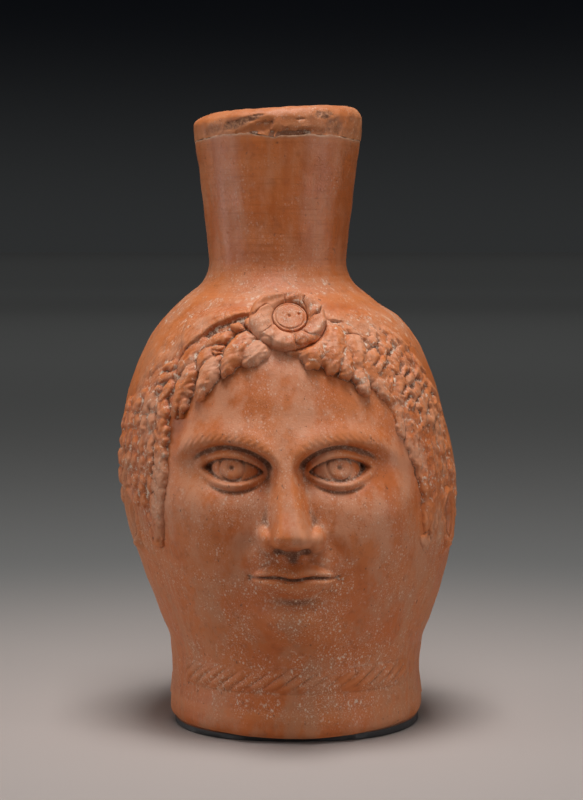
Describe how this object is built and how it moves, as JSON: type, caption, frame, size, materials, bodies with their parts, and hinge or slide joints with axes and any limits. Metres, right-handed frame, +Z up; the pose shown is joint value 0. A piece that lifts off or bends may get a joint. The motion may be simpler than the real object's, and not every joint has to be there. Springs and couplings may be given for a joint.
{
  "type": "head vase",
  "caption": "Red-slip clay flask pressed in the form of a head, with locks of hair, a brow medallion, a plain collar as its base and a flaring thrown neck to fill and pour by",
  "frame": {"origin": "the centre of the foot's flat underside", "axes": "+Z up through the vessel, the longest way; the face looks along -Y; +X is to the right of a viewer in front of the face"},
  "size_m": [0.1224, 0.1344, 0.2238],
  "materials": {
    "red_slip": "burnished orange-red slip, worn satin",
    "applied_clay": "orange-red slip, lime in the hollows",
    "raw_clay": "unslipped fired clay, matt"
  },
  "bodies": {
    "root": {"front_half": "red_slip", "back_half": "red_slip", "neck": "red_slip", "rim_band": "red_slip", "base_slab": "red_slip", "hair_roll_left": "applied_clay", "hair_roll_right": "applied_clay", "medallion_wreath": "applied_clay", "medallion_disc": "applied_clay", "seam_coil_left": "raw_clay", "seam_coil_right": "raw_clay", "neck_coil": "raw_clay", "floor_coil": "raw_clay"}
  },
  "joints": []
}
